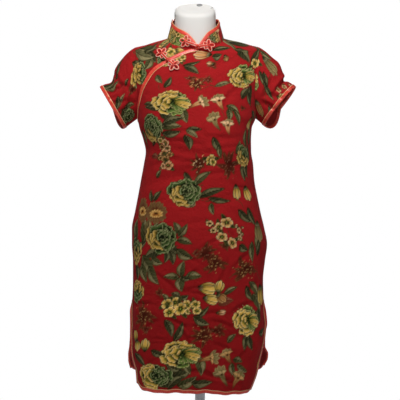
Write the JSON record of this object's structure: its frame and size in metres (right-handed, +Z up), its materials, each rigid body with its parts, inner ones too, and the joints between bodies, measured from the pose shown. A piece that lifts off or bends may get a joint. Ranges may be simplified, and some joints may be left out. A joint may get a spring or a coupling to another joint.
{
  "type": "cheongsam dress on dress form",
  "caption": "Knee-length short-sleeved floral cheongsam with stand collar, curved lapel, knotted fastenings and side slits, on a limbless dress form with pole and round base.",
  "frame": {"origin": "centre of the stand's underside, on the floor", "axes": "+Z up the pole; the dress faces -Y; +X is on the right of someone looking at its front, the wearer's left"},
  "size_m": [0.5106, 0.35, 1.468],
  "materials": {
    "printed_cotton": "matt woven cotton with a printed floral pattern",
    "satin": "satin binding and cord",
    "form_shell": "smooth satin white shell",
    "stand_chrome": "polished"
  },
  "bodies": {
    "root": {"front": "printed_cotton", "underlap": "printed_cotton", "back": "printed_cotton", "sleeve_right": "printed_cotton", "sleeve_left": "printed_cotton", "collar": "printed_cotton", "binding_collar": "satin", "binding_lapel": "satin", "binding_cuff_right": "satin", "binding_cuff_left": "satin", "binding_front_hem": "satin", "binding_back_hem": "satin", "frog_collar_button": "satin", "frog_collar_loop": "satin", "frog_chest_button": "satin", "frog_chest_loop": "satin", "form_torso": "form_shell", "flange": "stand_chrome", "pole": "stand_chrome", "hub": "stand_chrome", "base": "stand_chrome"}
  },
  "joints": []
}
